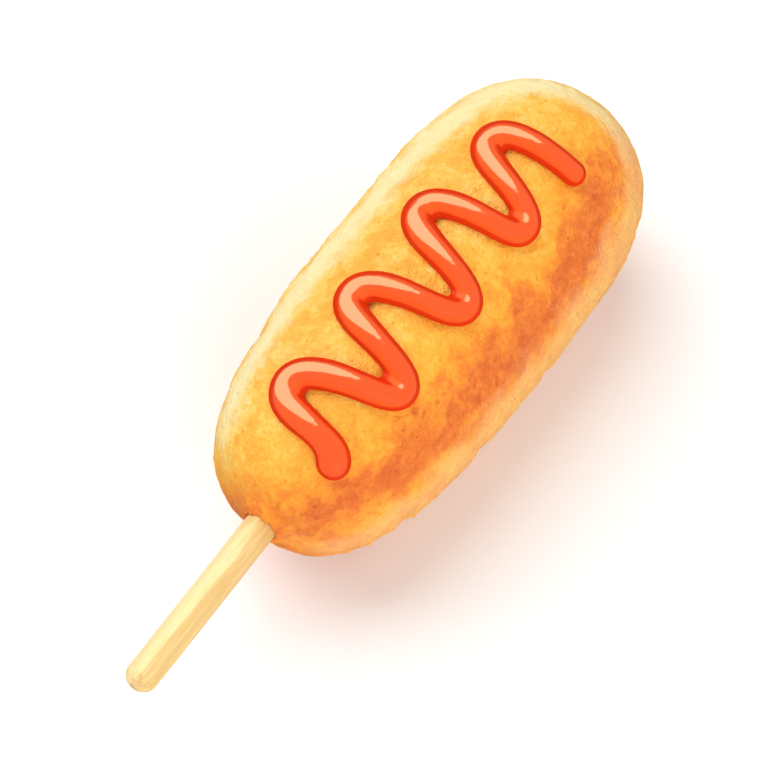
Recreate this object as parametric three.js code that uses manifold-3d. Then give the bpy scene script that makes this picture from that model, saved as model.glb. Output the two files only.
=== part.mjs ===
// A corn dog: a battered, deep-fried food on a round wooden stick, with a zigzag of ketchup along its top.
// It lies on its side, as it rests on a table: +X from the stick to the tip, +Z up, in millimetres.
import * as THREE from 'three';
import { mergeVertices } from 'three/addons/utils/BufferGeometryUtils.js';
import Module from 'manifold-3d';

// The food: a round body, blunt at the stick end and rounder at the tip.
const foodLength = 105;
const foodDiameter = 46;
const stickEnd = { taper: 2.4, bluntness: 3.2 };
const tipEnd = { taper: 4.6, bluntness: 2.1 };
const restDepth = 1; // how far the underside is flattened where the food lies

// The fried coat: soft lumps, and short nicks where one lap of batter meets the next.
const lumps = [
  { height: 0.12, length: 31, lobes: 3, turn: 0.6 },
  { height: 0.09, length: 19, lobes: 4, turn: 2.5 },
  { height: 0.07, length: 12, lobes: 7, turn: 4.4 },
];
const nickDepth = 0.8;
const nickWidth = 1.5;
const nickSpan = 6;
const nicks = [
  { x: -34.5, angle: 116 },
  { x: -15, angle: 108 },
  { x: 5, angle: 107 },
  { x: 38, angle: 98 },
  { x: -25, angle: -72 },
  { x: 15.5, angle: -150 },
  { x: -4.5, angle: 176 },
];

// The stick: a dowel with rounded ends, pushed into the food and leaning a little to one side.
const stickDiameter = 6;
const stickOut = 39.75;
const stickIn = 36;
const stickLean = 0.73;

// The ketchup: one squeezed line that swings to and fro, on a flat map of the coat. There u runs along the
// food, and v runs round it from the top, towards -Y, measured at the food's widest. The line passes each
// knot, and before and after are the handles that draw it out there, as on any Bezier curve.
const lineKnots = [
  { u: -43.0, v: 12.2, after: [3.3, -3.9] },
  { u: -36.6, v: -6.2, before: [-5.7, 0], after: [5.7, 0] },
  { u: -26.4, v: 13.1, before: [-5.4, 0], after: [4.5, 0] },
  { u: -16.8, v: -5.5, before: [-6.7, 0], after: [5.9, 0] },
  { u: -6.8, v: 12.1, before: [-5.9, 0], after: [5.2, 0] },
  { u: 4.3, v: -5.3, before: [-7.0, 0], after: [6.1, 0] },
  { u: 12.7, v: 11.4, before: [-5.8, 0], after: [4.8, 0] },
  { u: 23.6, v: -3.7, before: [-5.8, 0], after: [4.5, 0] },
  { u: 27.9, v: 11.8, before: [-0.4, -6.7] },
];
const startWidth = 6.1;
const strokeWidth = 5.3;
const loopWidth = 5.9;
const cornerWidth = 5.1;
const endWidth = 4.9;
const loopRange = [-2, 6]; // between these values of v the width goes from a loop's to a stroke's
const cornerRange = [4, 11]; // and between these from a stroke's to a corner's
const endBlend = 8; // over how many millimetres the line takes on its width at either end
const lineHeight = 3.1;

const gap = 0.3; // clear space between pieces that touch

// How finely the surfaces are divided.
const crustRings = 52;
const crustSides = 60;
const outlineSamples = 400;
const lineSteps = 160;
const lineSides = 14;
const lineCapSteps = 4;
const stickSides = 24;
const stickCapSteps = 4;

const crownRadius = foodDiameter / 2;
const foodEnd = foodLength / 2;
const degrees = Math.PI / 180;
const weldReach = 1e-4; // corners this close are one
const overlap = 5; // how far a cutting tool reaches past what it cuts
const slopeStep = 0.4; // how far to either side the coat is looked at for its slope
const glance = 0.05; // how far ahead the ketchup's route is looked at for its heading
const bendStep = 0.5; // how far to either side it is looked at for its bending
const foldMargin = 0.9; // the share of a bend's radius that the line may spread inwards

const wasm = await Module();
wasm.setup();

// ---- closed meshes ----

// A geometry with its shared corners joined, and without the slivers left at a pole.
function weld(geometry) {
  const bare = geometry.clone();
  bare.deleteAttribute('normal');
  bare.deleteAttribute('uv');
  const joined = mergeVertices(bare, weldReach);
  const corners = joined.getIndex().array;
  const kept = [];
  for (let i = 0; i < corners.length; i += 3) {
    const [a, b, c] = corners.slice(i, i + 3);
    if (a !== b && b !== c && c !== a) {
      kept.push(a, b, c);
    }
  }
  joined.setIndex(kept);
  return joined;
}

function toSolid(geometry) {
  const welded = weld(geometry);
  const vertProperties = new Float32Array(welded.getAttribute('position').array);
  const triVerts = new Uint32Array(welded.getIndex().array);
  return new wasm.Manifold(new wasm.Mesh({ numProp: 3, vertProperties, triVerts }));
}

function toGeometry(solid) {
  const mesh = solid.getMesh();
  const geometry = new THREE.BufferGeometry();
  geometry.setAttribute('position', new THREE.BufferAttribute(new Float32Array(mesh.vertProperties), 3));
  geometry.setIndex(new THREE.BufferAttribute(new Uint32Array(mesh.triVerts), 1));
  geometry.computeVertexNormals();
  return geometry;
}

// ---- the fried coat ----

// The coat's radius at x along the food, before any lumps: a superellipse, with its own shape at each end.
function smoothRadius(x) {
  const end = x < 0 ? stickEnd : tipEnd;
  const along = Math.min(Math.abs(x) / foodEnd, 1);
  return crownRadius * (1 - along ** end.taper) ** (1 / end.bluntness);
}

function lumpHeight(x, angle) {
  let height = 0;
  for (const lump of lumps) {
    const wave = Math.sin((2 * Math.PI * x) / lump.length + lump.turn);
    height += lump.height * wave * Math.cos(lump.lobes * angle + lump.turn);
  }
  return height;
}

function nickHeight(x, angle) {
  let height = 0;
  for (const nick of nicks) {
    const around = angle - nick.angle * degrees;
    const wrapped = Math.atan2(Math.sin(around), Math.cos(around)) * crownRadius;
    height -= nickDepth * Math.exp(-(((x - nick.x) / nickWidth) ** 2) - (wrapped / nickSpan) ** 2);
  }
  return height;
}

// The coat's true radius. Angles are measured from the top, towards -Y. Relief fades out at both ends.
function coatRadius(x, angle) {
  const smooth = smoothRadius(x);
  const fade = smooth / crownRadius;
  return smooth + fade * (lumpHeight(x, angle) + nickHeight(x, angle));
}

function coatPoint(x, angle) {
  const radius = coatRadius(x, angle);
  return new THREE.Vector3(x, -radius * Math.sin(angle), radius * Math.cos(angle));
}

function coatNormal(x, angle) {
  const turn = slopeStep / crownRadius;
  const along = coatPoint(x + slopeStep, angle).sub(coatPoint(x - slopeStep, angle));
  const around = coatPoint(x, angle + turn).sub(coatPoint(x, angle - turn));
  return around.cross(along).normalize();
}

// The food turned on its axis as one profile, then pushed in and out by the relief.
function coatGeometry() {
  const samples = [];
  for (let i = 0; i <= outlineSamples; i += 1) {
    const turn = (Math.PI * i) / outlineSamples;
    const end = turn < Math.PI / 2 ? stickEnd : tipEnd;
    const x = -Math.sign(Math.cos(turn)) * foodEnd * Math.abs(Math.cos(turn)) ** (2 / end.taper);
    samples.push(new THREE.Vector2(crownRadius * Math.sin(turn) ** (2 / end.bluntness), x));
  }
  const outline = new THREE.SplineCurve(samples).getSpacedPoints(crustRings);
  outline[0].x = 0;
  outline[crustRings].x = 0;
  const geometry = new THREE.LatheGeometry(outline, crustSides);
  geometry.rotateZ(-Math.PI / 2);
  const position = geometry.getAttribute('position');
  for (let i = 0; i < position.count; i += 1) {
    const x = position.getX(i);
    const radius = Math.hypot(position.getY(i), position.getZ(i));
    const angle = Math.atan2(-position.getY(i), position.getZ(i));
    const relief = (radius / crownRadius) * (lumpHeight(x, angle) + nickHeight(x, angle));
    const scale = radius > 0 ? (radius + relief) / radius : 1;
    position.setY(i, position.getY(i) * scale);
    position.setZ(i, position.getZ(i) * scale);
  }
  return geometry;
}

// ---- the stick ----

// A dowel along the stick's own leaning axis, wider by the clearance on every side.
function dowelGeometry(clearance) {
  const radius = stickDiameter / 2 + clearance;
  const straight = stickOut + stickIn - stickDiameter;
  const geometry = new THREE.CapsuleGeometry(radius, straight, stickCapSteps, stickSides);
  geometry.rotateZ(-Math.PI / 2);
  geometry.translate(-straight / 2, 0, 0);
  geometry.rotateZ(stickLean * degrees);
  geometry.translate(stickIn - stickDiameter / 2 - foodEnd, 0, 0);
  return geometry;
}

// ---- the ketchup ----

// The middle of the line on the flat map.
function lineRoute() {
  const route = new THREE.Path();
  lineKnots.forEach((knot, i) => {
    if (i === 0) {
      route.moveTo(knot.u, knot.v);
      return;
    }
    const last = lineKnots[i - 1];
    const leaving = [last.u + last.after[0], last.v + last.after[1]];
    const arriving = [knot.u + knot.before[0], knot.v + knot.before[1]];
    route.bezierCurveTo(...leaving, ...arriving, knot.u, knot.v);
  });
  return route;
}

// Half the line's width at a spot, where v tells a loop from a corner.
function halfWidth(v, fromStart, fromEnd) {
  const { lerp, smoothstep } = THREE.MathUtils;
  let width = lerp(loopWidth, strokeWidth, smoothstep(v, ...loopRange));
  width = lerp(width, cornerWidth, smoothstep(v, ...cornerRange));
  width = lerp(startWidth, width, smoothstep(fromStart, 0, endBlend));
  return lerp(endWidth, width, smoothstep(fromEnd, 0, endBlend)) / 2;
}

// How far the line may spread to one side, 1 or -1, before it would fold over itself in a bend.
function bendRoom(route, share, side) {
  const length = route.getLength();
  const low = Math.max(share - bendStep / length, 0);
  const high = Math.min(share + bendStep / length, 1);
  const turning = route.getTangentAt(low).cross(route.getTangentAt(high)) * side;
  return turning > 0 ? (foldMargin * (high - low) * length) / turning : Infinity;
}

function mapToCoat(spot) {
  return coatPoint(spot.x, spot.y / crownRadius);
}

// A capsule bent along the route: domed above, and flat below where it lies on the coat.
function lineGeometry() {
  const route = lineRoute();
  const length = route.getLength();
  const geometry = new THREE.CapsuleGeometry(1, lineSteps, lineCapSteps, lineSides, lineSteps);
  const position = geometry.getAttribute('position');
  for (let i = 0; i < position.count; i += 1) {
    const share = THREE.MathUtils.clamp(position.getY(i) / lineSteps + 0.5, 0, 1);
    const past = position.getY(i) - lineSteps * (share - 0.5);
    const spot = route.getPointAt(share);
    const half = halfWidth(spot.y, share * length, (1 - share) * length);
    const room = bendRoom(route, share, Math.sign(position.getX(i)));
    const place = mapToCoat(spot);
    const ahead = mapToCoat(route.getTangentAt(share).multiplyScalar(glance).add(spot));
    const forward = ahead.sub(place).normalize();
    const sideways = forward.clone().cross(coatNormal(spot.x, spot.y / crownRadius)).normalize();
    place.addScaledVector(sideways, position.getX(i) * Math.min(half, room));
    place.addScaledVector(forward, past * half);
    const angle = Math.atan2(-place.y, place.z);
    const lift = gap + lineHeight * Math.max(position.getZ(i), 0);
    const point = coatPoint(place.x, angle).addScaledVector(coatNormal(place.x, angle), lift);
    position.setXYZ(i, point.x, point.y, point.z);
  }
  return geometry;
}

// ---- the food's coat, flattened underneath and bored for the stick ----

function batterSolid() {
  const table = new THREE.BoxGeometry(foodLength + overlap, foodDiameter + overlap, overlap);
  table.translate(0, 0, restDepth - crownRadius - overlap / 2);
  return toSolid(coatGeometry()).subtract(toSolid(table)).subtract(toSolid(dowelGeometry(gap)));
}

// ---- the three pieces ----

function piece(name, geometry, look) {
  const mesh = new THREE.Mesh(geometry, new THREE.MeshStandardMaterial({ metalness: 0, ...look }));
  mesh.name = name;
  return mesh;
}

const food = new THREE.Group();
food.add(piece('batter', toGeometry(batterSolid()), { color: 0xf0a83c, roughness: 0.7 }));
food.add(piece('ketchup', toGeometry(toSolid(lineGeometry())), { color: 0xe8401c, roughness: 0.25 }));
food.add(piece('stick', dowelGeometry(0), { color: 0xf0d8a0, roughness: 0.6 }));

// The origin is under the middle of the whole thing, on the table.
const extent = new THREE.Box3().setFromObject(food);
const middle = extent.getCenter(new THREE.Vector3());
food.position.set(-middle.x, -middle.y, -extent.min.z);

const group = new THREE.Group();
group.add(food);

export default group;
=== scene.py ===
# %% [markdown]
# # A corn dog, modelled and finished
#
# A corn dog is a sausage on a stick, dipped in cornmeal batter and deep-fried. What shows of it is three
# things: the fried crust, the bare end of the stick, and a zigzag of ketchup squeezed along the top. The
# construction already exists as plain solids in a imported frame, in metres, with +X running from the stick to
# the tip and +Z up. This lesson dresses each solid with a finely modelled piece and a procedural finish.

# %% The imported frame
import math

import bmesh
import bpy
from mathutils import Matrix, Vector, noise
from mathutils.geometry import interpolate_bezier


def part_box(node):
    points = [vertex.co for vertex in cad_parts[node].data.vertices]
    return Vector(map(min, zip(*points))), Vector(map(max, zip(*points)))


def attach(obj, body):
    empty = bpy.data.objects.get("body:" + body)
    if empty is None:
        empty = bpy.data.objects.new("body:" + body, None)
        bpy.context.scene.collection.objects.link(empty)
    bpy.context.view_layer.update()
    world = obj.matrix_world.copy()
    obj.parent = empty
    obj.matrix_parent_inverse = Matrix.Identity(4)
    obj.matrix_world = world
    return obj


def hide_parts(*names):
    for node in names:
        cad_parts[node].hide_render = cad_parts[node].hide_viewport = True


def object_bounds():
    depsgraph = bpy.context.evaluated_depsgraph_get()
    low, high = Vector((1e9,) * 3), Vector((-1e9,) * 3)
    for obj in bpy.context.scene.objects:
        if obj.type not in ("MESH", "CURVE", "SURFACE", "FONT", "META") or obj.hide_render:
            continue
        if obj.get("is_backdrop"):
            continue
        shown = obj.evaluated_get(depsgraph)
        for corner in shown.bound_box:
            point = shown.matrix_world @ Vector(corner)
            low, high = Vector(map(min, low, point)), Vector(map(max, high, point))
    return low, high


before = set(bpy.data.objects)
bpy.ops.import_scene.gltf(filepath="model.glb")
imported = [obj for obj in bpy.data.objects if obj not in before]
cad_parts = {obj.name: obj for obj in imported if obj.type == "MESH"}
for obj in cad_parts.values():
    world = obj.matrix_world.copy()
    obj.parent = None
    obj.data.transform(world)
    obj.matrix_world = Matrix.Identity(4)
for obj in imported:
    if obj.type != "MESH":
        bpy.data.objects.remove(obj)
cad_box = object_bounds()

mm = 0.001
print("nodes in the frame:", sorted(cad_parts))

# %% [markdown]
# ## The camera
#
# The corn dog lies on a table and is looked down on, from beside the stick, so that it rises from lower left
# to upper right and the zigzag faces the lens. A long lens keeps the stick and the tip at nearly one scale.
# The direction from the object back to the camera is worked out from two angles. Aiming along its opposite
# with `to_track_quat` keeps the horizon level.

# %% The camera
view_azimuth = math.radians(-55.5)
view_elevation = math.radians(57.89)
view_distance = 772.1 * mm
aim = Vector((6.04, 0.85, 15.24)) * mm

toward_camera = Vector((
    math.sin(view_azimuth) * math.cos(view_elevation),
    -math.cos(view_azimuth) * math.cos(view_elevation),
    math.sin(view_elevation),
))
camera = bpy.data.objects.new("camera", bpy.data.cameras.new("camera"))
camera.data.lens = 200
camera.data.sensor_width = 36
camera.location = aim + toward_camera * view_distance
camera.rotation_mode = "QUATERNION"
camera.rotation_quaternion = (-toward_camera).to_track_quat("-Z", "Y")
bpy.context.collection.objects.link(camera)
bpy.context.scene.camera = camera
print("camera at", [round(x, 3) for x in camera.location])

# %% [markdown]
# ## The food's own shape
#
# Battered food is dipped and spins as it drains, so its body is close to a turned shape: blunt where the
# batter gathers at the stick, rounder at the tip. One formula, a superellipse with its own exponents at each
# end, gives the radius anywhere along the body. Soft lumps and a few short nicks, where one lap of batter
# meets the next, are added to that radius. Everything that touches the coat asks these functions where it is,
# so the pieces fit each other without measuring any mesh.

# %% The food's own shape
food_length = 105 * mm
food_radius = 23 * mm
food_end = food_length / 2
rest_depth = 1 * mm
stick_end = {"taper": 2.4, "bluntness": 3.2}
tip_end = {"taper": 4.6, "bluntness": 2.1}
lumps = (
    {"height": 0.12 * mm, "length": 31 * mm, "lobes": 3, "turn": 0.6},
    {"height": 0.09 * mm, "length": 19 * mm, "lobes": 4, "turn": 2.5},
    {"height": 0.07 * mm, "length": 12 * mm, "lobes": 7, "turn": 4.4},
)
nick_depth = 0.8 * mm
nick_width = 1.5 * mm
nick_span = 6 * mm
nicks = ((-34.5, 116), (-15, 108), (5, 107), (38, 98), (-25, -72), (15.5, -150), (-4.5, 176))

food_centre = Vector((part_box("batter")[1].x - food_end, 0, food_radius - rest_depth))


def smooth_radius(x):
    """The coat's radius at x along the food, before lumps and nicks."""
    end = stick_end if x < 0 else tip_end
    along = min(abs(x) / food_end, 1)
    return food_radius * (1 - along ** end["taper"]) ** (1 / end["bluntness"])


def lump_height(x, angle):
    """Soft swellings that run round and along the coat."""
    return sum(
        lump["height"]
        * math.sin(2 * math.pi * x / lump["length"] + lump["turn"])
        * math.cos(lump["lobes"] * angle + lump["turn"])
        for lump in lumps
    )


def nick_height(x, angle):
    """Short dents across the coat, each fading out sideways."""
    height = 0
    for nick_x, nick_degrees in nicks:
        around = angle - math.radians(nick_degrees)
        wrapped = math.atan2(math.sin(around), math.cos(around)) * food_radius
        away = (x - nick_x * mm) / nick_width
        height -= nick_depth * math.exp(-(away ** 2) - (wrapped / nick_span) ** 2)
    return height


def relief(x, angle):
    """Lumps and nicks together, fading out towards both ends."""
    return smooth_radius(x) / food_radius * (lump_height(x, angle) + nick_height(x, angle))


def coat_point(x, angle):
    """A point on the coat. Angles run from the top of the food towards -Y."""
    radius = smooth_radius(x) + relief(x, angle)
    return food_centre + Vector((x, -radius * math.sin(angle), radius * math.cos(angle)))


def coat_normal(x, angle):
    """The outward direction of the coat, from two short steps along it."""
    step = 0.4 * mm
    turn = step / food_radius
    along = coat_point(x + step, angle) - coat_point(x - step, angle)
    around = coat_point(x, angle + turn) - coat_point(x, angle - turn)
    return around.cross(along).normalized()


print("food centre at", [round(x, 4) for x in food_centre])

# %% [markdown]
# ## Helpers for pieces
#
# Each piece is shaped in a bmesh with operators and then becomes an object that sits at the origin, because
# its place is in its vertices. The helper also hangs the piece on the body that it rides on and hides the
# solid that it stands for.

# %% Helpers for pieces


def make_piece(bm, name, node):
    """An object from the bmesh, standing for that node of the frame."""
    bmesh.ops.recalc_face_normals(bm, faces=bm.faces[:])
    mesh = bpy.data.meshes.new(name)
    bm.to_mesh(mesh)
    bm.free()
    mesh.shade_smooth()
    made = bpy.data.objects.new(name, mesh)
    bpy.context.collection.objects.link(made)
    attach(made, "root")
    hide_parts(node)
    return made


def settle(made):
    """Makes what the piece's modifiers show its own mesh, and takes the modifiers off."""
    bpy.context.view_layer.update()
    result = bpy.data.meshes.new_from_object(made.evaluated_get(bpy.context.evaluated_depsgraph_get()))
    result.name = made.name
    made.modifiers.clear()
    made.data = result
    result.shade_smooth()


def even_skin(made, pitch):
    """Rebuilds the piece's surface with faces of one size, and fuses what overlaps."""
    remesh = made.modifiers.new("even skin", "REMESH")
    remesh.mode = "VOXEL"
    remesh.voxel_size = pitch


def show_size(made):
    """Prints how many triangles a piece has."""
    triangles = sum(len(face.vertices) - 2 for face in made.data.polygons)
    print(made.name, "has", triangles, "triangles")


# %% [markdown]
# ## The crust: turned on its axis
#
# The body could be a stretched sphere, but a turned profile gives the real ends and leaves a true socket for
# the stick. The profile starts at the bottom of the socket, runs out along it, turns over a small collar,
# where batter creeps up the stick as it fries, and then follows the superellipse to the tip. `spin` with
# `use_merge` closes it into a solid.

# %% The crust, turned
stick_radius = 3 * mm
stick_out = 39.75 * mm
stick_in = 36 * mm
stick_lean = math.radians(0.73)
socket_radius = stick_radius + 0.08 * mm
collar_height = 1.7 * mm
collar_reach = 1.9 * mm
profile_steps = 150
spin_steps = 144


def collar(radius):
    """How far the batter climbs the stick, at that distance from its axis."""
    return collar_height * math.exp(-((radius - socket_radius) / collar_reach) ** 2)


def crust_profile():
    """Points from the bottom of the socket, round the collar and along the coat to the tip."""
    points = [(stick_in - food_end, 0), (stick_in - food_end, socket_radius)]
    for i in range(profile_steps + 1):
        turn = math.pi * i / profile_steps
        end = stick_end if turn < math.pi / 2 else tip_end
        radius = food_radius * max(math.sin(turn), 0) ** (2 / end["bluntness"])
        x = -math.copysign(food_end * abs(math.cos(turn)) ** (2 / end["taper"]), math.cos(turn))
        if radius > socket_radius or x > 0:
            points.append((x - (collar(radius) if x < 0 else 0), radius))
    points.insert(2, (points[2][0], socket_radius))
    return points


bm = bmesh.new()
profile = [bm.verts.new((x, 0, radius)) for x, radius in crust_profile()]
outline = [bm.edges.new(pair) for pair in zip(profile, profile[1:])]
bmesh.ops.spin(
    bm, geom=profile + outline, cent=(0, 0, 0), axis=(1, 0, 0), angle=2 * math.pi,
    steps=spin_steps, use_merge=True,
)
bmesh.ops.remove_doubles(bm, verts=bm.verts[:], dist=0.001 * mm)
bmesh.ops.translate(bm, verts=bm.verts[:], vec=food_centre)
crust = make_piece(bm, "crust", "batter")
show_size(crust)

# %% [markdown]
# ## The crust: an even skin
#
# A turned mesh has its points crowded at the ends and stretched in the middle, so fine relief would change
# grain along it. A voxel remesh gives faces of one size all over, and is applied at once, so that the relief
# is pushed into real vertices. A Decimate modifier then thins the socket's wall and the underside, where
# nobody looks, and a vertex group tells it where that is.

# %% The crust, remeshed
skin_pitch = 0.41 * mm
kept_share = 0.78
hidden_below = 12 * mm

even_skin(crust, skin_pitch)
settle(crust)
unseen = crust.vertex_groups.new(name="unseen")
for vertex in crust.data.vertices:
    local = vertex.co - food_centre
    from_axis = math.hypot(local.y, local.z)
    if local.z < -hidden_below or (from_axis < socket_radius + skin_pitch and local.x < stick_in - food_end):
        unseen.add([vertex.index], 1, "REPLACE")
thin = crust.modifiers.new("thin where unseen", "DECIMATE")
thin.ratio = kept_share
thin.vertex_group = unseen.name
settle(crust)
crust.vertex_groups.clear()
show_size(crust)

# %% [markdown]
# ## The crust: fried relief
#
# Frying batter sets in several sizes of bump. Steam raises low swells a few millimetres wide, the cornmeal
# leaves a fine pebbling, small bubbles stand up as domes, and the ones that burst leave pits with a slight
# rim. Cell patterns give the round shapes, and a soft noise decides where they crowd together, because real
# crust is rough in some places and almost smooth in others. `noise_vector`, which bends the cells, starts
# from the clock unless it is seeded, so it gets a seed, and the relief comes out the same each time.

# %% The crust's relief
swells = ((5.2 * mm, 0.17 * mm), (2.3 * mm, 0.13 * mm), (1.1 * mm, 0.08 * mm))
pebble_size = 1.5 * mm
pebble_height = 0.16 * mm
bubbles = (
    {"spacing": 6.5 * mm, "radius": 1.5 * mm, "height": 0.30 * mm, "from": Vector((4.1, 9.2, 1.7))},
    {"spacing": 3.6 * mm, "radius": 0.75 * mm, "height": 0.20 * mm, "from": Vector((2.6, 0.4, 8.3))},
)
pits = (
    {"spacing": 4.2 * mm, "radius": 0.8 * mm, "height": -0.32 * mm, "from": Vector((7.3, 3.1, 5.9))},
    {"spacing": 2.2 * mm, "radius": 0.5 * mm, "height": -0.21 * mm, "from": Vector((1.9, 6.4, 3.3))},
)
rim_height = 0.05 * mm
rough_patch = 14 * mm
bend_size = 3 * mm
bend_reach = 0.5 * mm

noise.seed_set(5)


def pebbles(spot):
    """Low round pebbles, 1 at the middle of one and 0 between them."""
    nearest = noise.voronoi(spot / pebble_size)[0][0]
    return max(0, 1 - (nearest / 0.7) ** 2)


def rounds(spot, kind, rough):
    """The height of scattered round bubbles or pits, which are more and larger on rough patches."""
    distances, centres = noise.voronoi(spot / kind["spacing"] + kind["from"])
    luck = noise.cell(centres[0] * 9.7)
    radius = kind["radius"] * (0.45 + 0.55 * luck) * (0.5 + 0.8 * rough)
    reach = distances[0] * kind["spacing"] / radius
    if reach > 1.6:
        return 0
    height = kind["height"] * max(0, 1 - reach ** 2) ** 1.3
    if kind["height"] < 0:
        height += rim_height * math.exp(-(((reach - 1.12) / 0.22) ** 2))
    return height


def crumb_height(spot):
    """The height of the fried relief at a point in space."""
    rough = min(max(0.5 + 1.1 * noise.noise(spot / rough_patch), 0), 1)
    warped = spot + noise.noise_vector(spot / bend_size) * bend_reach
    height = pebble_height * pebbles(warped) * (0.35 + rough)
    for size, swell in swells:
        height += swell * noise.noise(spot / size) * (0.6 + 0.6 * rough)
    for kind in bubbles + pits:
        height += rounds(warped, kind, rough)
    return height


print("relief at the food's tip:", round(crumb_height(Vector((food_end, 0, 0))) / mm, 3), "mm")

# %% [markdown]
# ## The crust: fried
#
# Each vertex moves out by the relief at its place. Near the mouth three more things happen: the socket leans
# with the stick, the lip round the stick comes out uneven, and the relief fades away towards the socket. The
# underside is pressed flat where it lies. Two numbers stay with each vertex for the finish: "bump", the
# height of the relief, which also paints shade into the pits, and "facing", how squarely the smooth body there
# faces the camera, which places a painted highlight and painted reflected light along the crust's outline.

# %% The crust, fried
relief_middle = 0.06 * mm
relief_fade = 1.5 * mm
mouth_depth = 3 * mm
lean_reach = 4 * mm
lip_swell = 0.9 * mm
lip_reach = 2.2 * mm
lip_lobe = 2.6 * mm
socket_skin = 0.2 * mm
socket_floor = stick_in - food_end + 1 * mm
# The direction towards the camera. How squarely the crust and the ketchup face it places painted highlight,
# painted reflected light and painted shade.
camera_way = Vector((-0.44, -0.30, 0.85)).normalized()


def body_normal(x, angle):
    """The outward direction of the smooth body, without its lumps and relief."""
    step = 0.2 * mm
    x = min(max(x, 2 * step - food_end), food_end - 2 * step)
    slope = (smooth_radius(x + step) - smooth_radius(x - step)) / (2 * step)
    return Vector((-slope, -math.sin(angle), math.cos(angle))).normalized()


def leaned(x, from_hole):
    """How far the leaning stick shifts the mouth sideways at x, less and less away from the hole."""
    depth = (stick_in - stick_radius - food_end - x) / (stick_in - stick_radius)
    shift = (stick_in - stick_radius) * math.sin(stick_lean)
    return shift * math.exp(-((max(from_hole, 0) / lean_reach) ** 2)) * max(depth, 0)


def fry(mesh):
    """Pushes relief into the coat, follows the leaning stick at the mouth and flattens the underside."""
    bumps = mesh.attributes.new("bump", "FLOAT", "POINT")
    facing = mesh.attributes.new("facing", "FLOAT", "POINT")
    normals = [vertex.normal.copy() for vertex in mesh.vertices]
    for vertex, normal in zip(mesh.vertices, normals):
        local = vertex.co - food_centre
        radius = math.hypot(local.y, local.z)
        angle = math.atan2(-local.y, local.z)
        facing.data[vertex.index].value = body_normal(local.x, angle).dot(camera_way)
        from_hole = radius - socket_radius
        at_mouth = local.x < mouth_depth - food_end
        in_socket = from_hole < socket_skin and local.x < socket_floor
        if at_mouth or in_socket:
            vertex.co.y -= leaned(local.x, from_hole)
        if in_socket:
            continue
        if at_mouth:
            lobe = noise.noise(Vector((0, local.y, local.z)).normalized() * (stick_radius / lip_lobe) * 2)
            vertex.co.x -= lip_swell * lobe * math.exp(-((max(from_hole, 0) / lip_reach) ** 2))
        if radius > 0:
            vertex.co += Vector((0, local.y, local.z)) / radius * relief(local.x, angle)
        crumb = crumb_height(local)
        bumps.data[vertex.index].value = crumb / mm
        vertex.co += normal * (crumb - relief_middle) * min(1, max(from_hole, 0) / relief_fade)
        vertex.co.z = max(vertex.co.z, 0)


fry(crust.data)
heights = sorted(item.value for item in crust.data.attributes["bump"].data)
print("relief from", round(heights[0], 2), "to", round(heights[-1], 2), "mm")

# %% [markdown]
# ## The ketchup: one squeezed line
#
# The line is drawn on a flat map of the coat: u runs along the food and v round it. A hand that zigzags makes
# wide loops on one side, tighter corners on the other and strokes that curve a little between them. Bezier
# handles draw exactly that: one knot at each turn, and a handle on either side that says how wide it swings.
# The knots are the solid's own, so the dressed line lies on the plain one.

# %% The ketchup's route
line_knots = (
    {"at": (-43.0, 12.2), "after": (3.3, -3.9)},
    {"at": (-36.6, -6.2), "before": (-5.7, 0), "after": (5.7, 0)},
    {"at": (-26.4, 13.1), "before": (-5.4, 0), "after": (4.5, 0)},
    {"at": (-16.8, -5.5), "before": (-6.7, 0), "after": (5.9, 0)},
    {"at": (-6.8, 12.1), "before": (-5.9, 0), "after": (5.2, 0)},
    {"at": (4.3, -5.3), "before": (-7.0, 0), "after": (6.1, 0)},
    {"at": (12.7, 11.4), "before": (-5.8, 0), "after": (4.8, 0)},
    {"at": (23.6, -3.7), "before": (-5.8, 0), "after": (4.5, 0)},
    {"at": (27.9, 11.8), "before": (-0.4, -6.7)},
)
route_step = 0.25 * mm
drawn_per_stroke = 200


def drawn_line():
    """The middle of the line on the flat map, knot to knot."""
    points = []
    for start, end in zip(line_knots, line_knots[1:]):
        here, there = Vector((*start["at"], 0)), Vector((*end["at"], 0))
        leaving, arriving = here + Vector((*start["after"], 0)), there + Vector((*end["before"], 0))
        points += interpolate_bezier(here, leaving, arriving, there, drawn_per_stroke)[:-1]
    points.append(there)
    return [point * mm for point in points]


def evenly_spaced(points, step):
    """Points one step apart along the same line."""
    spaced, walked = [points[0].copy()], 0
    for start, end in zip(points, points[1:]):
        span = (end - start).length
        while walked + span >= step * len(spaced):
            spaced.append(start.lerp(end, (step * len(spaced) - walked) / span))
        walked += span
    return spaced


route = evenly_spaced(drawn_line(), route_step)
print("the ketchup line is", round(len(route) * route_step / mm), "mm long")

# %% [markdown]
# ## The ketchup: a bead on the coat
#
# Thick sauce stands up in a bead: round on top, a little undercut where it meets the crust, and swelling
# wherever the bottle slowed down. The bead starts as a sphere, is cut in two halves that are drawn apart, and
# gets rings along its length. Then every vertex is carried to its own place along the route and wrapped on
# the coat.

# %% The ketchup, beaded
bead = {"start": 6.1 * mm, "stroke": 5.3 * mm, "loop": 5.9 * mm, "corner": 5.1 * mm, "end": 4.9 * mm}
loop_range = (-2 * mm, 6 * mm)
corner_range = (4 * mm, 11 * mm)
end_blend = 8 * mm
bead_height = 3.4 * mm
bead_foot = 0.5 * mm
bead_sink = 0.5 * mm
bead_sides = 36


def smoothstep(value, low, high):
    """0 below low, 1 above high and a smooth rise between."""
    share = min(max((value - low) / (high - low), 0), 1)
    return share * share * (3 - 2 * share)


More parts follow.
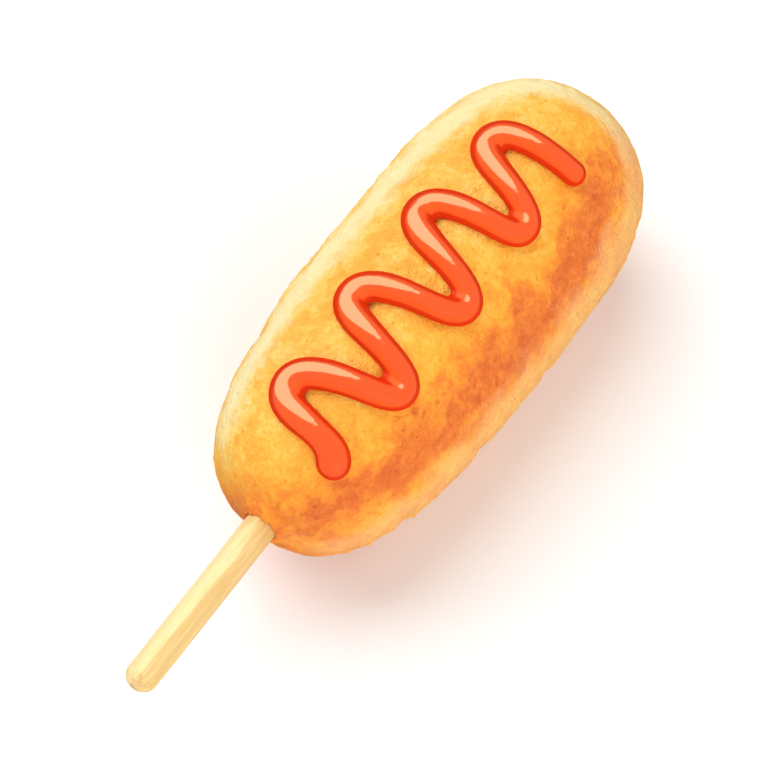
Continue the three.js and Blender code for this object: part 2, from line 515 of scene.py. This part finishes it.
def half_width(v, run, length):
    """Half the line's width at a spot on its route."""
    width = bead["loop"] + (bead["stroke"] - bead["loop"]) * smoothstep(v, *loop_range)
    width += (bead["corner"] - width) * smoothstep(v, *corner_range)
    width = bead["start"] + (width - bead["start"]) * smoothstep(run, 0, end_blend)
    width = bead["end"] + (width - bead["end"]) * smoothstep(length - run, 0, end_blend)
    return width / 2


def on_coat(spot):
    """A spot of the flat map, wrapped on the coat."""
    return coat_point(spot.x, spot.y / food_radius)


def bead_lift(height):
    """Height above the coat for a height of the unit bead, from -1 under it to 1 on top."""
    if height < 0:
        return bead_foot + height * (bead_foot + bead_sink)
    return bead_foot + height * (bead_height - bead_foot)


def bead_place(co, rings):
    """Where a vertex of the unit bead goes on the food."""
    run = min(max(co.z, 0), rings)
    past = co.z - run
    index = min(int(run), len(route) - 2)
    spot = route[index].lerp(route[index + 1], run - index)
    before, after = route[max(index - 1, 0)], route[min(index + 2, len(route) - 1)]
    heading = (after - before).normalized()
    half = half_width(spot.y, run * route_step, rings * route_step)
    place = on_coat(spot)
    forward = (on_coat(spot + heading * 0.05 * mm) - place).normalized()
    sideways = forward.cross(coat_normal(spot.x, spot.y / food_radius)).normalized()
    place += sideways * co.x * half + forward * past * half
    local = place - food_centre
    angle = math.atan2(-local.y, local.z)
    return coat_point(local.x, angle) + coat_normal(local.x, angle) * bead_lift(co.y)


rings = len(route) - 1
bm = bmesh.new()
bmesh.ops.create_uvsphere(bm, u_segments=bead_sides, v_segments=bead_sides // 2, radius=1)
upper = [vertex for vertex in bm.verts if vertex.co.z > 0.01]
bmesh.ops.translate(bm, verts=upper, vec=(0, 0, rings))
long_edges = [edge for edge in bm.edges if edge.calc_length() > rings / 2]
bmesh.ops.subdivide_edges(bm, edges=long_edges, cuts=rings // 2, use_grid_fill=True)
for vertex in bm.verts:
    vertex.co = bead_place(vertex.co.copy(), rings)
ketchup = make_piece(bm, "ketchup_line", "ketchup")
show_size(ketchup)

# %% [markdown]
# ## The ketchup: flowed together
#
# In the tight corners the swept bead folds into itself. Real sauce simply runs together there. A voxel
# remesh fuses the folds. Swelling the bead and shrinking it again by the same distance leaves a fillet in
# each inner corner, and a few rounds of smoothing pull the surface taut, as surface tension does. Two numbers
# stay with each vertex for the finish: "depth", how high it is above the coat in millimetres, and "crown",
# how squarely it faces the camera. Together they place the painted shade along the bead's margin and its
# gloss.

# %% The ketchup, flowed
sauce_pitch = 0.26 * mm
fillet = 0.8 * mm
taut_rounds = 10

even_skin(ketchup, sauce_pitch)
for distance in (fillet, -fillet):
    swell = ketchup.modifiers.new("swell and shrink", "DISPLACE")
    swell.strength = distance
    swell.mid_level = 0
    even_skin(ketchup, sauce_pitch)
taut = ketchup.modifiers.new("taut", "SMOOTH")
taut.factor = 0.5
taut.iterations = taut_rounds
settle(ketchup)
depth = ketchup.data.attributes.new("depth", "FLOAT", "POINT")
crown = ketchup.data.attributes.new("crown", "FLOAT", "POINT")
for vertex in ketchup.data.vertices:
    local = vertex.co - food_centre
    angle = math.atan2(-local.y, local.z)
    coat = coat_point(local.x, angle) - food_centre
    depth.data[vertex.index].value = (math.hypot(local.y, local.z) - math.hypot(coat.y, coat.z)) / mm
    crown.data[vertex.index].value = vertex.normal.dot(camera_way)
show_size(ketchup)

# %% [markdown]
# ## The stick
#
# The stick is a birch dowel with its ends rounded over. A short bar with bevelled rims is the whole shape.
# It leans a little, because sticks are pushed in by hand, so it is turned about the point where it was aimed
# before it is put in the food.

# %% The stick
stick_sides = 64
end_round = 2.7 * mm
end_segments = 10
stick_rings = 80

bm = bmesh.new()
stick_length = stick_out + stick_in
bmesh.ops.create_cone(
    bm, cap_ends=True, segments=stick_sides, radius1=stick_radius, radius2=stick_radius, depth=stick_length
)
rims = [edge for edge in bm.edges if abs(edge.verts[0].co.z - edge.verts[1].co.z) < stick_length / 2]
bmesh.ops.bevel(
    bm, geom=rims, offset=end_round, offset_type="OFFSET", segments=end_segments,
    profile=0.5, affect="EDGES", material=-1,
)
long_edges = [edge for edge in bm.edges if edge.calc_length() > stick_length / 2]
bmesh.ops.subdivide_edges(bm, edges=long_edges, cuts=stick_rings, use_grid_fill=True)
bmesh.ops.rotate(bm, verts=bm.verts[:], matrix=Matrix.Rotation(math.pi / 2, 3, "Y"))
bmesh.ops.translate(bm, verts=bm.verts[:], vec=(stick_radius - stick_length / 2, 0, 0))
bmesh.ops.rotate(bm, verts=bm.verts[:], matrix=Matrix.Rotation(stick_lean, 3, "Z"))
aimed_at = food_centre + Vector((stick_in - stick_radius - food_end, 0, 0))
bmesh.ops.translate(bm, verts=bm.verts[:], vec=aimed_at)
stick = make_piece(bm, "wood_stick", "stick")
show_size(stick)

# %% [markdown]
# ## Finishes: how the node trees are written
#
# A finish is a small tree of nodes. One helper adds a node and fills its sockets by name, either with a value
# or with another node's output, which keeps each finish readable as a list of steps.

# %% Helpers for finishes


def add(tree, kind, sockets=None, **settings):
    """A shader node of that kind, with sockets filled by name or number."""
    made = tree.nodes.new("ShaderNode" + kind)
    for setting, value in settings.items():
        setattr(made, setting, value)
    for key, value in (sockets or {}).items():
        if isinstance(value, bpy.types.NodeSocket):
            tree.links.new(value, made.inputs[key])
        else:
            made.inputs[key].default_value = value
    return made


def total(tree, operation, first, second=0.0, third=0.0):
    """The result of one sum on two or three values."""
    return add(tree, "Math", {0: first, 1: second, 2: third}, operation=operation).outputs[0]


def rise(tree, value, low, high, start=0.0, end=1.0):
    """A smooth rise from start to end as the value goes from low to high."""
    sockets = {"Value": value, "From Min": low, "From Max": high, "To Min": start, "To Max": end}
    return add(tree, "MapRange", sockets, interpolation_type="SMOOTHSTEP").outputs["Result"]


def ramp(tree, factor, stops):
    """A colour ramp from (position, colour) stops; a plain number makes a grey."""
    made = add(tree, "ValToRGB", {"Fac": factor})
    elements = made.color_ramp.elements
    while len(elements) < len(stops):
        elements.new(1)
    for element, (position, colour) in zip(elements, stops):
        element.position = position
        element.color = (*colour, 1) if isinstance(colour, tuple) else (colour, colour, colour, 1)
    return made.outputs["Color"]


def new_finish(name):
    """A material with a bare Principled shader: returns the material, its tree and the shader."""
    material = bpy.data.materials.new(name)
    material.use_nodes = True
    return material, material.node_tree, material.node_tree.nodes["Principled BSDF"]


def new_group(name, inputs, outputs):
    """An empty shader node group with these sockets: returns its tree and the node its inputs come from."""
    group = bpy.data.node_groups.new(name, "ShaderNodeTree")
    for way, sockets in (("INPUT", inputs), ("OUTPUT", outputs)):
        for label, kind in sockets.items():
            group.interface.new_socket(label, in_out=way, socket_type="NodeSocket" + kind)
    return group, group.nodes.new("NodeGroupInput")


def finish_group(group, results):
    """Wires results to the group's outputs by name."""
    last = group.nodes.new("NodeGroupOutput")
    for label, result in results.items():
        group.links.new(result, last.inputs[label])


def millimetres(tree):
    """Object coordinates from the food's centre, measured in millimetres."""
    place = add(tree, "TexCoord").outputs["Object"]
    moved = add(tree, "VectorMath", {0: place, 1: food_centre}, operation="SUBTRACT").outputs[0]
    return add(tree, "VectorMath", {0: moved, "Scale": 1 / mm}, operation="SCALE").outputs[0]


def screen(red, green, blue):
    """A colour given as it looks on a screen, 0 to 255, as the linear colour that a shader wants."""
    return tuple(((c / 255 + 0.055) / 1.055) ** 2.4 for c in (red, green, blue))


# %% [markdown]
# ## Shared effects: soft patches and specks
#
# Batter, sauce and wood all have soft patches of tone and small round flaws, at their own sizes. Each effect
# is therefore built once, as a node group with named sockets, and every finish sets its own sizes on it.
# "Soft patches" is a noise around zero that can be stretched, so that it also draws wood grain. "Specks" is a
# cell pattern with one soft dot in each cell, some large and some almost nothing, for burst bubbles, cornmeal
# and the pores of birch.

# %% Soft patches
patches, ends = new_group(
    "soft patches", {"Size": "Float", "Detail": "Float", "Stretch": "Vector"}, {"Value": "Float"}
)
spot = add(patches, "VectorMath", {0: millimetres(patches), 1: ends.outputs["Stretch"]}, operation="DIVIDE")
scale = total(patches, "DIVIDE", 1.0, ends.outputs["Size"])
cloud = add(
    patches, "TexNoise",
    {"Vector": spot.outputs[0], "Scale": scale, "Detail": ends.outputs["Detail"], "Roughness": 0.6},
)
finish_group(patches, {"Value": total(patches, "MULTIPLY_ADD", cloud.outputs["Fac"], 2.0, -1.0)})


def patch(tree, size, detail=4.0, stretch=(1, 1, 1)):
    """Soft patches of that size in millimetres, from -1 to 1."""
    sockets = {"Size": size, "Detail": detail, "Stretch": stretch}
    return add(tree, "Group", sockets, node_tree=patches).outputs["Value"]


print(patches.name, "is a group of", len(patches.nodes), "nodes")

# %% Specks
specks, ends = new_group(
    "specks", {"Spacing": "Float", "Radius": "Float", "Stretch": "Vector"}, {"Mask": "Float"}
)
spot = add(specks, "VectorMath", {0: millimetres(specks), 1: ends.outputs["Stretch"]}, operation="DIVIDE")
scale = total(specks, "DIVIDE", 1.0, ends.outputs["Spacing"])
cells = add(specks, "TexVoronoi", {"Vector": spot.outputs[0], "Scale": scale})
luck = add(specks, "SeparateColor", {0: cells.outputs["Color"]}).outputs[0]
away = total(specks, "MULTIPLY", cells.outputs["Distance"], ends.outputs["Spacing"])
reach = total(specks, "MULTIPLY", total(specks, "MULTIPLY", luck, luck), ends.outputs["Radius"])
near = total(specks, "SUBTRACT", 1.0, total(specks, "DIVIDE", away, reach))
finish_group(specks, {"Mask": rise(specks, near, 0.0, 0.4)})


def dots(tree, spacing, radius, stretch=(1, 1, 1)):
    """Scattered specks up to that radius in millimetres: 1 in a speck, 0 elsewhere."""
    sockets = {"Spacing": spacing, "Radius": radius, "Stretch": stretch}
    return add(tree, "Group", sockets, node_tree=specks).outputs["Mask"]


print(specks.name, "is a group of", len(specks.nodes), "nodes")

# %% [markdown]
# ## Shared effects: the place on the food
#
# Frying colours follow the food's own shape, so a third group says where a spot is on it: how far along from
# the middle, how many degrees round from the top towards -Y, and how far out from the axis. It works all of
# that out from Object coordinates. The helpers below it take up what the finishes do again and again.

# %% The place on the food
places, ends = new_group("place on the food", {}, {"Along": "Float", "Degrees": "Float", "Out": "Float"})
parts = add(places, "SeparateXYZ", {0: millimetres(places)}).outputs
angle = total(places, "ARCTAN2", total(places, "MULTIPLY", parts["Y"], -1.0), parts["Z"])
across = add(places, "CombineXYZ", {"Y": parts["Y"], "Z": parts["Z"]}).outputs[0]
out = add(places, "VectorMath", {0: across}, operation="LENGTH").outputs["Value"]
degrees = total(places, "MULTIPLY", angle, 180 / math.pi)
finish_group(places, {"Along": parts["X"], "Degrees": degrees, "Out": out})


def stored(tree, name):
    """The number that the mesh keeps under that name at each vertex."""
    return add(tree, "Attribute", attribute_name=name).outputs["Fac"]


def more(tree, value, other, amount):
    """The value plus an amount of the other."""
    return total(tree, "MULTIPLY_ADD", other, amount, value)


def product(tree, first, second):
    """One value times another, which keeps only what both masks show."""
    return total(tree, "MULTIPLY", first, second)


def tint(tree, mask, colour, tone):
    """The colour, with the tone laid over it where the mask is 1."""
    sockets = {"Factor": mask, "A": colour, "B": (*tone, 1)}
    return add(tree, "Mix", sockets, data_type="RGBA").outputs["Result"]


def dimple(tree, shader, height):
    """Gives the shader a fine relief, in millimetres."""
    bump = add(tree, "Bump", {"Height": height, "Distance": mm})
    tree.links.new(bump.outputs["Normal"], shader.inputs["Normal"])


print("shared groups:", sorted(group.name for group in bpy.data.node_groups))

# %% [markdown]
# ## The crust's finish: how far it has fried
#
# Fried batter isn't one colour, but all its colours lie on one path: pale yellow where the oil barely touched
# it, then gold, amber and orange-brown. So the finish first works out how far each spot has fried, as one
# number, and the same number also carries painted shade. It changes round the axis: a long browned band on
# the side turned from the key light is partly real browning where the food lay in the oil and partly painted
# shade, and the flank towards the key light is paler. Noise of two sizes bends the band, most where the frying
# was gentle, and the band shifts a little along the food, because it never floats quite level.

# %% How far each side has fried
# How far each side has fried, round the food: real browning, and painted shade on the band turned from the key
# light.
browning_and_shade_stops = (
    (-180, 0.62),
    (-150, 0.74),
    (-120, 0.52),
    (-90, 0.30),
    (-66, 0.18),
    (-46, 0.16),
    (-36, 0.24),
    (-20, 0.31),
    (20, 0.32),
    (32, 0.41),
    (42, 0.51),
    (50, 0.67),
    (56, 0.84),
    (68, 0.87),
    (75, 0.70),
    (82, 0.52),
    (92, 0.46),
    (120, 0.50),
    (150, 0.62),
    (180, 0.62),
)
ragged_stops = ((-180, 1.0), (50, 1.0), (74, 0.65), (100, 0.8), (130, 1.0))
full_turn = 360


def around(tree, turn, stops):
    """A value that changes round the food, from (degrees, value) stops."""
    return ramp(tree, turn, tuple((at / full_turn + 0.5, value) for at, value in stops))


crust_finish, tree, shader = new_finish("fried crust")
place = add(tree, "Group", node_tree=places)
along, degrees, out = (place.outputs[label] for label in ("Along", "Degrees", "Out"))
upright = total(tree, "MULTIPLY_ADD", degrees, 1 / full_turn, 0.5)
wander = product(tree, patch(tree, 11.0, 5.0), 14.0)
wander = more(tree, wander, patch(tree, 3.2, 5.0), 10.0)
bent = total(tree, "MULTIPLY_ADD", wander, around(tree, upright, ragged_stops), degrees)
bent = total(tree, "ADD", bent, rise(tree, along, 10.0, 42.0, 0.0, 22.0))
low_down = product(tree, rise(tree, along, -14.0, -26.0), rise(tree, degrees, 0.0, 30.0))
bent = more(tree, bent, low_down, 6.0)
turn = total(tree, "FRACT", total(tree, "MULTIPLY_ADD", bent, 1 / full_turn, 0.5))
fried = around(tree, turn, browning_and_shade_stops)
print("browning is set at", len(browning_and_shade_stops), "places round the food")

# %% [markdown]
# ## The crust's finish: the two ends
#
# The tip bobs out of the oil and stays paler, and the batter round the mouth is thin, so it browns. On the
# axis itself the degrees all meet in one point, so close to it a single tone takes over, or the pattern would
# gather there like the slices of a cake.

# %% The two ends
mouth_stops = (
    (-180, 0.16), (-100, 0.12), (-60, 0.0), (-20, 0.0), (6, 0.12), (30, 0.22), (50, 0.16), (180, 0.16),
)
tip_stops = ((-140, 0.0), (-60, 0.3), (0, 0.3), (12, 0.13), (24, 0.12), (45, 0.12), (60, 0.0))

fried = total(tree, "MINIMUM", fried, rise(tree, along, 26.0, 38.0, 1.2, 0.60))
fried = total(tree, "MINIMUM", fried, rise(tree, along, 40.0, 47.0, 0.9, 0.38))
mouth_browning = product(tree, rise(tree, along, -38.0, -52.0), around(tree, turn, mouth_stops))
fried = more(tree, fried, mouth_browning, rise(tree, fried, 0.5, 0.85, 1.0, 0.0))
tip_paling = product(tree, rise(tree, along, 24.0, 46.0), around(tree, turn, tip_stops))
fried = total(tree, "SUBTRACT", fried, tip_paling)
at_end = rise(tree, more(tree, out, patch(tree, 5.0), 5.0), 14.0, 4.0)
end_value = rise(tree, along, -10.0, 10.0, 0.66, 0.40)
fried = more(tree, fried, total(tree, "SUBTRACT", end_value, fried), at_end)
print("the ends have", len(mouth_stops), "and", len(tip_stops), "stops of their own")

# %% [markdown]
# ## The crust's finish: blotches, pits and cornmeal
#
# Batter is never even, so noise of several sizes leaves blotches in the tone. The relief counts too: pits
# get painted shade and what stands up is painted paler, as if lit, so the relief reads in the colour. Pinholes
# are dark and grains of cornmeal are light.

# %% Blotches, pits and cornmeal
blotches = rise(tree, patch(tree, 5.0, 5.0), -0.02, 0.12, -0.05, 0.07)
fried = total(tree, "ADD", fried, blotches)
for size, detail, amount in ((6.0, 3.0, 0.12), (2.2, 4.0, 0.20), (0.7, 2.0, 0.19)):
    fried = more(tree, fried, patch(tree, size, detail), amount)
# Painted shade in the pits: the lower the relief, the darker, and what stands up is paler, as if lit.
fried = more(tree, fried, total(tree, "SUBTRACT", stored(tree, "bump"), 0.08), -0.42)
pinholes = dots(tree, 1.7, 0.36)
meal = dots(tree, 1.3, 0.42)
fried = more(tree, fried, pinholes, 0.12)
fried = more(tree, fried, meal, -0.10)
print(crust_finish.name, "has", len(tree.nodes), "nodes so far")

# %% [markdown]
# ## The crust's finish: colour
#
# A ramp turns how far each spot has fried into its colour. Then two more tones go over it, where the crust
# turns away from the camera. A cream line on the far flank, near the outline, is a painted highlight, a rim
# of light along that edge. On the near flank the browned band ends in a warm, peach-coloured rim, which is
# painted reflected light, the glow that the white table throws back. The stored "facing" places both, and
# noise roughens their borders.

# %% The crust's colour
fried_stops = (
    (0.00, screen(250, 218, 144)),
    (0.15, screen(249, 202, 98)),
    (0.32, screen(249, 183, 65)),
    (0.48, screen(249, 167, 50)),
    (0.62, screen(247, 149, 45)),
    (0.80, screen(235, 124, 43)),
    (0.92, screen(226, 111, 40)),
    (1.00, screen(219, 103, 37)),
)
# Painted highlight: the cream of the rim of light along the far flank's outline.
painted_highlight_cream = screen(247, 230, 173)
# Painted reflected light: the peach of the glow that the white table throws back onto the near flank.
painted_bounce_peach = screen(250, 205, 150)
highlight_line_stops = ((-95, 0.0), (-60, 0.9), (-8, 0.9), (4, 0.7), (24, 0.7), (46, 0.3), (58, 0.0))
bounce_rim_stops = ((15, 0.0), (45, 0.34), (105, 0.34), (130, 0.0))
highlight_line_reach = ((-50.0, -40.0), (51.0, 46.0))

facing = more(tree, stored(tree, "facing"), patch(tree, 3.4, 5.0), 0.13)
facing = total(tree, "ADD", facing, rise(tree, along, 4.0, 28.0, 0.0, -0.06))
facing = total(tree, "ADD", facing, rise(tree, along, 30.0, 38.0, 0.0, 0.025))
far_side = more(tree, facing, patch(tree, 7.0, 4.0), 0.2)
near_side = more(tree, facing, patch(tree, 8.0, 3.0), 0.18)
# Painted highlight: a cream line along the far flank, where the crust turns from the camera.
painted_highlight_line = product(tree, rise(tree, facing, 0.59, 0.42), around(tree, upright, highlight_line_stops))
painted_highlight_line = product(tree, painted_highlight_line, rise(tree, far_side, 0.05, 0.33))
for outside, inside in highlight_line_reach:
    painted_highlight_line = product(tree, painted_highlight_line, rise(tree, along, outside, inside))
# Painted reflected light: a peach rim along the near flank, where the crust turns from the camera.
painted_bounce_rim = product(tree, rise(tree, near_side, 0.62, 0.38), around(tree, upright, bounce_rim_stops))
off_axis = total(tree, "SUBTRACT", 1.0, at_end)
colour = ramp(tree, fried, fried_stops)
for mask, tone in ((painted_highlight_line, painted_highlight_cream), (painted_bounce_rim, painted_bounce_peach)):
    colour = tint(tree, product(tree, mask, off_axis), colour, tone)
tree.links.new(colour, shader.inputs["Base Color"])
print("the crust's colour runs over", len(fried_stops), "tones")

# %% [markdown]
# ## The crust's finish: sheen and grain
#
# Drained fried batter has a soft, oily sheen that comes and goes in patches, so the roughness changes slowly
# over the surface. Below the relief that is modelled lies the grain of the meal itself, a tenth of a
# millimetre high, which a Bump node adds.

# %% The crust's sheen and grain
tree.links.new(rise(tree, patch(tree, 3.0), -0.4, 0.4, 0.36, 0.6), shader.inputs["Roughness"])
shader.inputs["Specular IOR Level"].default_value = 0.45
grain = more(tree, product(tree, patch(tree, 0.6, 3.0), 0.2), pinholes, -0.18)
dimple(tree, shader, more(tree, grain, meal, 0.11))
crust.data.materials.append(crust_finish)
print(crust_finish.name, "has", len(tree.nodes), "nodes")

# %% [markdown]
# ## The ketchup's finish
#
# Ketchup is wet and dense. Its colour hardly changes, except for a deeper red painted along its margin as
# shade: where the bead is low at its foot or turns away from the camera, which the stored "depth" and
# "crown" tell. The gloss is a clear coat, nearly a mirror, that covers only the thick crown, because sauce
# dries first where it is thin. The body below it stays matt, so the soft box draws one clean streak along the
# bead.
# Trapped air dimples it here and there.

# %% The ketchup's finish
sauce_red = screen(248, 92, 38)
# Painted shade: the deeper red of the margin, at the bead's foot and where it turns from the camera.
painted_shade_red = screen(212, 50, 14)

ketchup_finish, tree, shader = new_finish("wet ketchup")
depth, crown = stored(tree, "depth"), stored(tree, "crown")
cloud = patch(tree, 2.5)
# Painted shade mask: 0 on the margin, where the bead is low or turns from the camera, and 1 on the lit crown.
clear_of_painted_shade = product(
    tree,
    rise(tree, more(tree, depth, cloud, 0.12), 1.6, 2.1),
    rise(tree, more(tree, crown, cloud, 0.05), 0.56, 0.73),
)
tree.links.new(ramp(tree, clear_of_painted_shade, ((0.0, painted_shade_red), (1.0, sauce_red))), shader.inputs["Base Color"])
wet = product(tree, rise(tree, depth, 2.75, 3.0), rise(tree, crown, 0.45, 0.65))
tree.links.new(rise(tree, wet, 0.0, 1.0, 0.1, 1.0), shader.inputs["Coat Weight"])
shader.inputs["Coat Roughness"].default_value = 0.1
shader.inputs["Coat IOR"].default_value = 2.4
shader.inputs["Roughness"].default_value = 0.6
shader.inputs["Specular IOR Level"].default_value = 0.0
air = product(tree, dots(tree, 5.0, 0.45), -0.06)
dimple(tree, shader, more(tree, air, patch(tree, 2.2, 1.0), 0.03))
ketchup.data.materials.append(ketchup_finish)
print(ketchup_finish.name, "has", len(tree.nodes), "nodes")

# %% [markdown]
# ## The stick's finish
#
# Birch is pale and close-grained. Its grain and its short dark pores run along the dowel, so both shared
# effects are stretched that way. One side of it, turned from the key light, is painted darker as shade, and
# where the stick comes out of the batter it has soaked up some oil.

# %% The stick's finish
birch_light = screen(248, 217, 160)
# The dark end of the wood's tone, for its grain and pores and for the painted shade on one side.
birch_dark_and_shade = screen(223, 184, 116)
oiled = screen(222, 170, 96)

wood_finish, tree, shader = new_finish("bare birch")
place = add(tree, "Group", node_tree=places)
along, degrees = place.outputs["Along"], place.outputs["Degrees"]
grain = more(tree, patch(tree, 0.9, 3.0, (30, 1, 1)), patch(tree, 0.3, 2.0, (24, 1, 1)), 0.6)
pores = dots(tree, 0.75, 0.34, (10, 1, 1))
# Painted shade: the side of the dowel turned from the key light is darker.
painted_shade_side = rise(tree, more(tree, degrees, patch(tree, 1.6, 4.0, (6, 1, 1)), 30.0), 10.0, 34.0, 0.05, 0.8)
tone = more(tree, total(tree, "MULTIPLY_ADD", grain, 1.1, painted_shade_side), pores, 0.8)
wood = ramp(tree, tone, ((0.0, birch_light), (1.0, birch_dark_and_shade)))
soaked = rise(tree, more(tree, along, patch(tree, 1.2, 3.0, (6, 1, 1)), 4.0), -60.0, -51.0, 0.0, 0.7)
tree.links.new(tint(tree, soaked, wood, oiled), shader.inputs["Base Color"])
shader.inputs["Roughness"].default_value = 0.55
shader.inputs["Specular IOR Level"].default_value = 0.4
dimple(tree, shader, more(tree, product(tree, grain, 0.02), pores, -0.04))
stick.data.materials.append(wood_finish)
print(wood_finish.name, "has", len(tree.nodes), "nodes")

# %% [markdown]
# ## The table
#
# Food is often shown on a seamless white table. Real ones curve up behind it. Here a flat round one does it:
# its middle is matt white and takes the soft shadow, and from there to its edge it glows more and more, until
# it is as bright as the white room and its edge can't be seen. It is left out of gloss, or the ketchup would
# mirror it as a pink line along its foot.

# %% The table
table_radius = 0.6
glow_from = 0.2
edge_glow = 0.9
table_white = 0.93

bm = bmesh.new()
bmesh.ops.create_circle(bm, cap_ends=True, segments=128, radius=table_radius)
table_mesh = bpy.data.meshes.new("table_top")
bm.to_mesh(table_mesh)
bm.free()
table = bpy.data.objects.new("table_top", table_mesh)
bpy.context.collection.objects.link(table)
table.visible_glossy = False
table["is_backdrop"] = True

table_finish, tree, shader = new_finish("matt white table")
shader.inputs["Base Color"].default_value = (table_white, table_white, table_white, 1)
shader.inputs["Roughness"].default_value = 0.9
spot = add(tree, "TexCoord").outputs["Object"]
away = add(tree, "VectorMath", {0: spot}, operation="LENGTH").outputs["Value"]
glow = rise(tree, away, glow_from, table_radius)
tree.links.new(ramp(tree, glow, ((0.0, 0.0), (1.0, edge_glow))), shader.inputs["Emission Color"])
shader.inputs["Emission Strength"].default_value = 1.0
table.data.materials.append(table_finish)
print("the table is", 2 * table_radius, "m wide")

# %% [markdown]
# ## The room
#
# The room is white to look at, but its light is weak, so that the lamps still shape the food. A Light Path
# node tells the two apart, and dims the room once more in gloss, where it would only veil the ketchup.

# %% The room
room_light = 0.25
dimmer_in_gloss = 0.18

world = bpy.data.worlds.new("studio")
world.use_nodes = True
room = world.node_tree
backdrop = room.nodes["Background"]
backdrop.inputs["Color"].default_value = (1, 1, 1, 1)
ray = add(room, "LightPath").outputs
strength = total(room, "MULTIPLY_ADD", ray["Is Camera Ray"], 1.0 - room_light, room_light)
strength = total(room, "MULTIPLY_ADD", ray["Is Glossy Ray"], -dimmer_in_gloss, strength)
room.links.new(strength, backdrop.inputs["Strength"])
bpy.context.scene.world = world
bpy.context.scene.view_settings.view_transform = "Standard"
print("the room lights the food at", room_light)

# %% [markdown]
# ## The lamps
#
# A large soft box stands behind and to the left of the food, so that it rakes the far flank and drops a soft
# shadow towards the viewer. The streaks on the ketchup need another strength than the light on the crust, so
# a second box of the same shape hangs just in front of it and shows in gloss alone. Two smaller fills, one
# from the near side and one from beyond the tip, keep the browned flank and the tip from going dull.

# %% The lamps
key_side = (0.077, 0.572, 0.817)
key_size = (1.376, 0.887)
key_long_axis = (0.524, -0.72, 0.455)
fill_size = (0.7, 0.5)
fill_distance = 0.9
warm_white = (1.0, 0.9, 0.5)


def soft_box(name, direction, distance, size, long_axis, watts, lights=True, colour=(1, 1, 1)):
    """An oval area light that faces the food. It either lights it or only shows in its gloss."""
    lamp = bpy.data.lights.new(name, "AREA")
    lamp.shape = "ELLIPSE"
    lamp.size, lamp.size_y = size
    lamp.energy = watts
    lamp.color = colour
    made = bpy.data.objects.new(name, lamp)
    away = Vector(direction).normalized()
    along = (Vector(long_axis) - away * away.dot(Vector(long_axis))).normalized()
    made.matrix_world = Matrix((along, away.cross(along), away)).transposed().to_4x4()
    made.location = food_centre + away * distance
    made.visible_diffuse = lights
    made.visible_glossy = not lights
    bpy.context.collection.objects.link(made)
    print(name, "gives", watts, "W")


soft_box("key", key_side, 0.8, key_size, key_long_axis, 8.3)
soft_box("shine", key_side, 0.77, key_size, key_long_axis, 7.0, lights=False, colour=warm_white)
soft_box("fill", (-0.62, -0.72, 0.42), fill_distance, fill_size, (0.7, -0.7, 0), 5.7)
soft_box("tip fill", (0.72, -0.55, 0.42), fill_distance, fill_size, (0.6, 0.8, 0), 2.4)

# %% [markdown]
# ## Sizes
#
# The dressed object has to stay the size of the solids, so both boxes are printed.

# %% Sizes
visual_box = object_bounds()
for which, (low, high) in (("solids", cad_box), ("dressed", visual_box)):
    print(which, [round((b - a) / mm, 2) for a, b in zip(low, high)], "mm")
